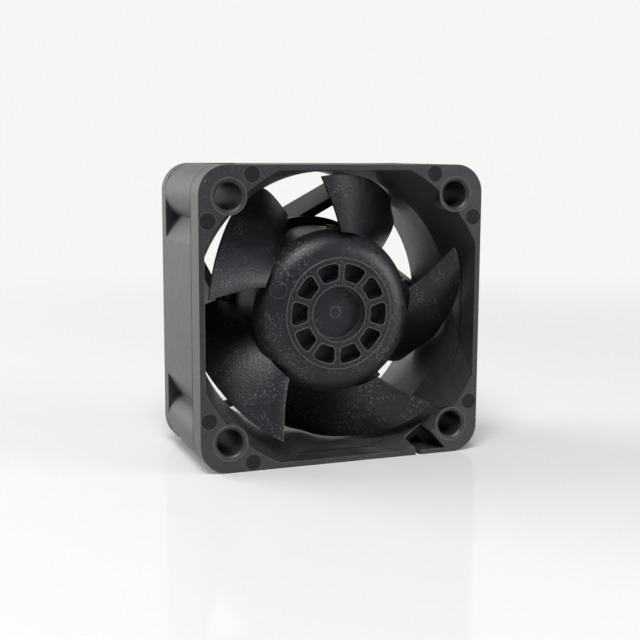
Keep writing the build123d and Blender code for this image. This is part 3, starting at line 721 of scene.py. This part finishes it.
class FAN_OT_stage(bpy.types.Operator):
    """Set the floor, the soft lights, the white background and the camera"""

    bl_idname = "fan.stage"
    bl_label = "Stage"

    def execute(self, context):
        scene = context.scene
        colours = scene.fan_colours
        self.floor(scene, tuple(colours.floor), tuple(colours.backdrop))
        self.background(scene, tuple(colours.backdrop), tuple(colours.room))
        for name, place, size, power in LAMPS:
            self.lamp(scene, name, place, size, power)
        self.camera(scene)
        return {"FINISHED"}

    def floor(self, scene, tone, backdrop):
        mesh = bmesh.new()
        low = cad_box[0][2]
        at_foot = Matrix.Translation((0, 0, low))
        bmesh.ops.create_grid(mesh, x_segments=1, y_segments=1, size=FLOOR_HALF, matrix=at_foot)
        data = bpy.data.meshes.new("floor")
        mesh.to_mesh(data)
        mesh.free()
        floor = bpy.data.objects.new("floor", data)
        scene.collection.objects.link(floor)
        data.materials.append(self.floor_finish(tone, backdrop, tuple(scene.fan_colours.room)))

    def floor_finish(self, tone, backdrop, room):
        """pale board with a faint gloss, which runs out into the white, or into the dim room in front"""
        material, tree, shader = new_material("pale floor")
        shader.inputs["Base Color"].default_value = (*tone, 1.0)
        shader.inputs["Roughness"].default_value = 0.9
        shader.inputs["Specular IOR Level"].default_value = 0.0
        gloss = tree.nodes.new("ShaderNodeBsdfGlossy")
        gloss.inputs["Roughness"].default_value = 0.07
        coated = tree.nodes.new("ShaderNodeMixShader")
        coated.inputs["Fac"].default_value = FLOOR_GLOSS
        tree.links.new(shader.outputs["BSDF"], coated.inputs[1])
        tree.links.new(gloss.outputs["BSDF"], coated.inputs[2])
        glow = tree.nodes.new("ShaderNodeEmission")
        place = tree.nodes.new("ShaderNodeTexCoord").outputs["Object"]
        split = tree.nodes.new("ShaderNodeSeparateXYZ")
        tree.links.new(place, split.inputs[0])
        front = ramp(tree, math_node(tree, "MULTIPLY", split.outputs["Y"], -1.0), *ROOM_FADE)
        path = tree.nodes.new("ShaderNodeLightPath")
        hidden = math_node(tree, "SUBTRACT", 1.0, path.outputs["Is Camera Ray"])
        dim = math_node(tree, "MULTIPLY", front, hidden)
        tree.links.new(blend_colour(tree, dim, backdrop, room), glow.inputs["Color"])
        reach = tree.nodes.new("ShaderNodeVectorMath")
        reach.operation = "LENGTH"
        tree.links.new(place, reach.inputs[0])
        far = tree.nodes.new("ShaderNodeMixShader")
        share = math_node(tree, "MAXIMUM", ramp(tree, reach.outputs["Value"], *FLOOR_FADE), dim)
        tree.links.new(share, far.inputs["Fac"])
        tree.links.new(coated.outputs["Shader"], far.inputs[1])
        tree.links.new(glow.outputs["Emission"], far.inputs[2])
        tree.links.new(far.outputs["Shader"], tree.nodes["Material Output"].inputs["Surface"])
        return material

    def background(self, scene, tone, room):
        """white behind and above the fan, and a dimmer room in front of it"""
        world = bpy.data.worlds.new("studio")
        world.use_nodes = True
        tree = world.node_tree
        shade = tree.nodes["Background"]
        path = tree.nodes.new("ShaderNodeLightPath")
        seen = math_node(tree, "MAXIMUM", path.outputs["Is Camera Ray"], path.outputs["Is Glossy Ray"])
        seen = math_node(tree, "MAXIMUM", seen, path.outputs["Is Transmission Ray"])
        tree.links.new(blend_value(tree, seen, FILL_LIGHT, 1.0), shade.inputs["Strength"])
        way = tree.nodes.new("ShaderNodeVectorMath")
        way.operation = "DOT_PRODUCT"
        way.inputs[1].default_value = WHITE_SIDE
        tree.links.new(tree.nodes.new("ShaderNodeTexCoord").outputs["Generated"], way.inputs[0])
        around = blend_colour(tree, ramp(tree, way.outputs["Value"], *WHITE_FADE), room, tone)
        shown = blend_colour(tree, path.outputs["Is Camera Ray"], around, tone)
        tree.links.new(shown, shade.inputs["Color"])
        scene.world = world

    def lamp(self, scene, name, place, size, power):
        data = bpy.data.lights.new(name, "AREA")
        data.size = size
        data.energy = power
        lamp = bpy.data.objects.new(name, data)
        lamp.location = place
        lamp.rotation_euler = (-Vector(place)).to_track_quat("-Z", "Y").to_euler()
        lamp.visible_camera = False
        scene.collection.objects.link(lamp)

    def camera(self, scene):
        data = bpy.data.cameras.new("photo")
        data.lens = CAMERA_LENS
        data.sensor_width = CAMERA_SENSOR
        data.clip_start = CAMERA_NEAR
        camera = bpy.data.objects.new("photo", data)
        camera.location = CAMERA_PLACE
        camera.rotation_euler = Euler([radians(part) for part in CAMERA_TURN])
        scene.collection.objects.link(camera)
        scene.camera = camera


class FAN_PT_sidebar(bpy.types.Panel):
    """Lists the steps that dress the fan"""

    bl_idname = "FAN_PT_sidebar"
    bl_label = "Cooling Fan"
    bl_space_type = "VIEW_3D"
    bl_region_type = "UI"
    bl_category = "Fan"

    def draw(self, context):
        for step in STEPS:
            self.layout.operator(step.bl_idname)
        for group in (context.scene.fan_sizes, context.scene.fan_colours):
            box = self.layout.box()
            for name in group.__annotations__:
                box.prop(group, name)


STEPS = (
    FAN_OT_finishes,
    FAN_OT_moulding_marks,
    FAN_OT_hub_lips,
    FAN_OT_hole_rims,
    FAN_OT_parting_line,
    FAN_OT_stage,
)
CLASSES = (FanSizes, FanColours, *STEPS, FAN_PT_sidebar)


def register():
    for kind in CLASSES:
        bpy.utils.register_class(kind)
    bpy.types.Scene.fan_sizes = bpy.props.PointerProperty(type=FanSizes)
    bpy.types.Scene.fan_colours = bpy.props.PointerProperty(type=FanColours)


def unregister():
    del bpy.types.Scene.fan_colours
    del bpy.types.Scene.fan_sizes
    for kind in reversed(CLASSES):
        bpy.utils.unregister_class(kind)


def main():
    register()
    for step in STEPS:
        folder, name = step.bl_idname.split(".")
        getattr(getattr(bpy.ops, folder), name)()
    bpy.context.scene.view_settings.view_transform = "Standard"


if __name__ == "__main__":
    main()
